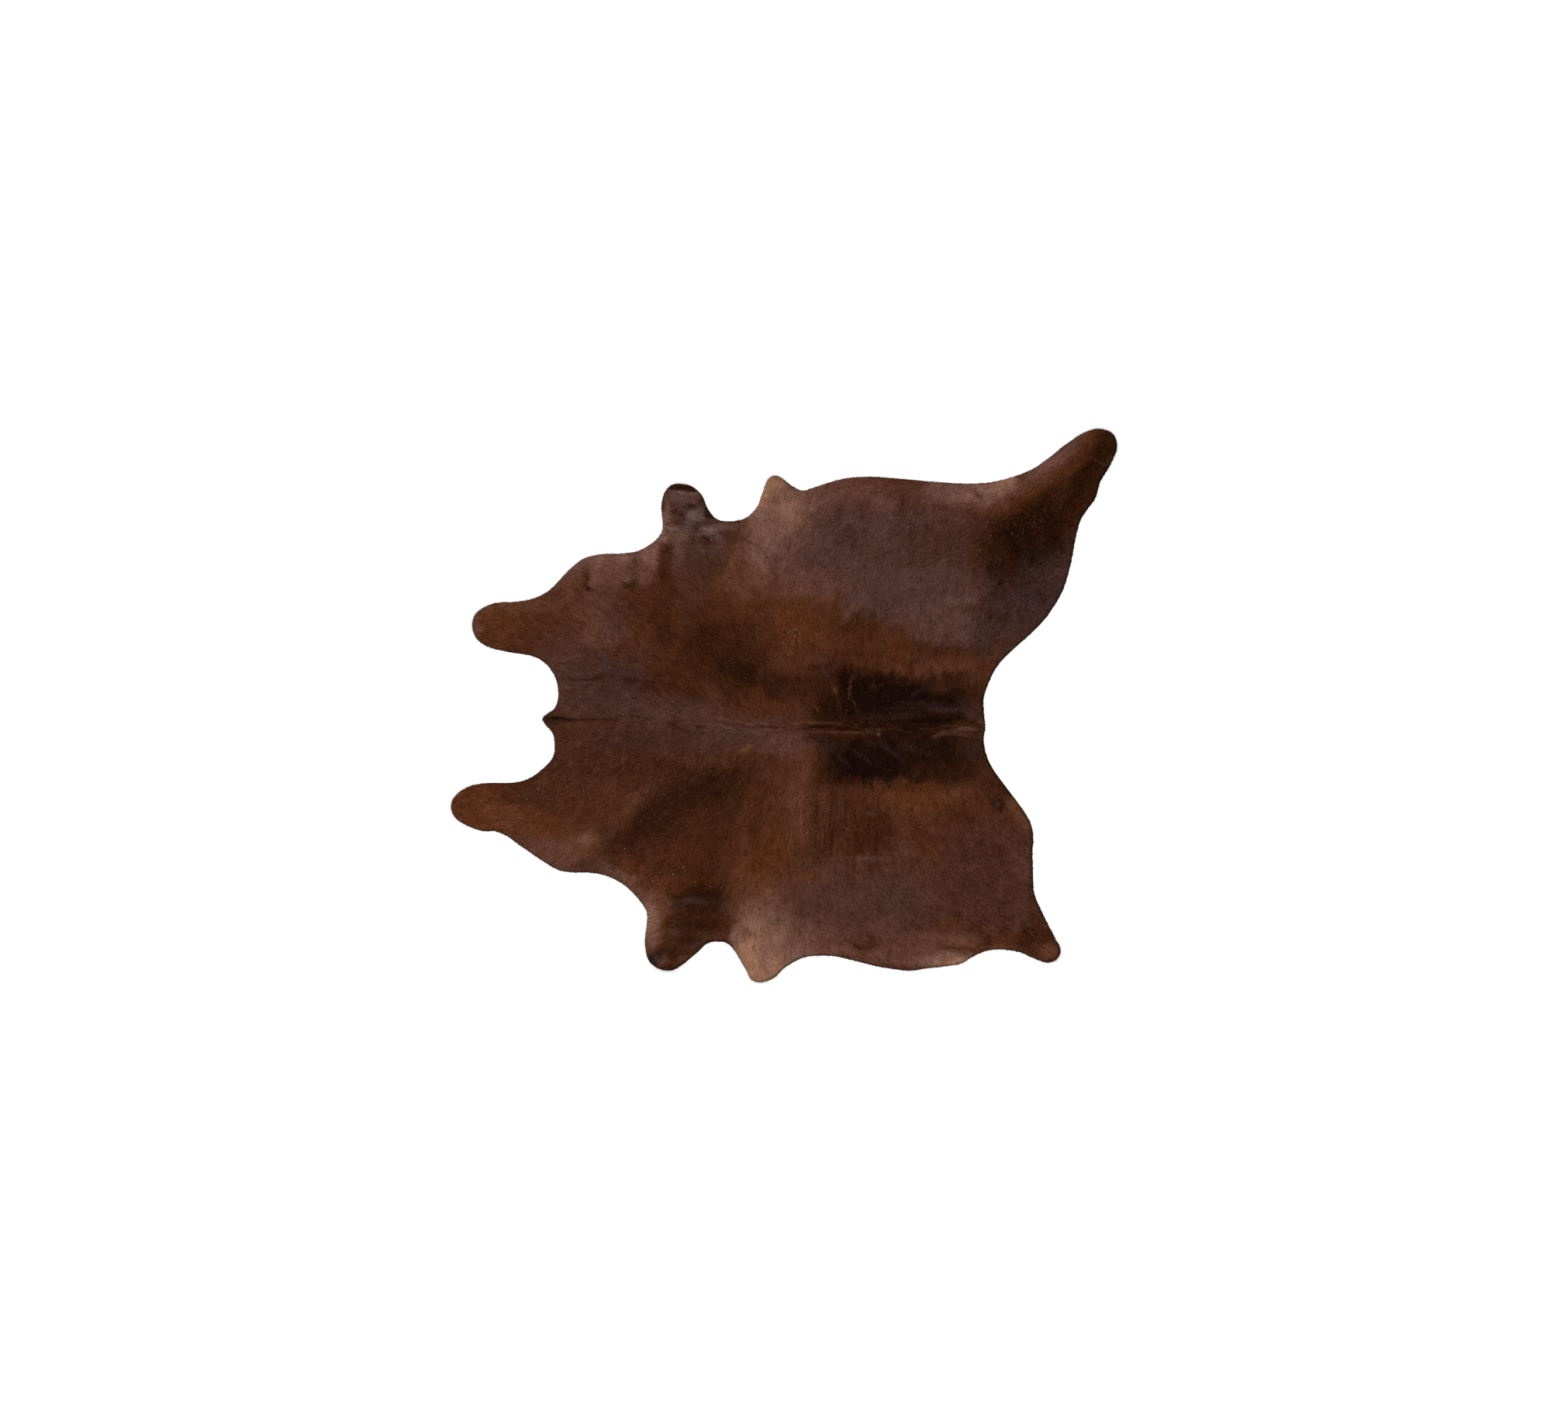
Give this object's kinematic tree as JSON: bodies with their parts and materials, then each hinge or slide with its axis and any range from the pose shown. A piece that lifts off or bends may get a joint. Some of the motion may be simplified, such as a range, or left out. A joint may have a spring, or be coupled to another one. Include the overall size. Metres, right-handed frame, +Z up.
{
  "type": "hair-on cowhide rug",
  "caption": "Whole brown cowhide, tanned with its short hair on and laid flat: cheeks, nape, legs, flank points and rump in one sheet, with a low ridge along the spine.",
  "frame": {"origin": "on the floor, under the middle of the hide's bounding box", "axes": "+X along the spine from the nape towards the rump, +Y across it towards the animal's right side, +Z up out of the hair side"},
  "size_m": [2.2, 1.8286, 0.0129],
  "materials": {
    "hair_on_leather": "short glossy brown hair lying flat on tanned skin, with a matt suede underside"
  },
  "bodies": {
    "root": {"hide": "hair_on_leather"}
  },
  "joints": []
}
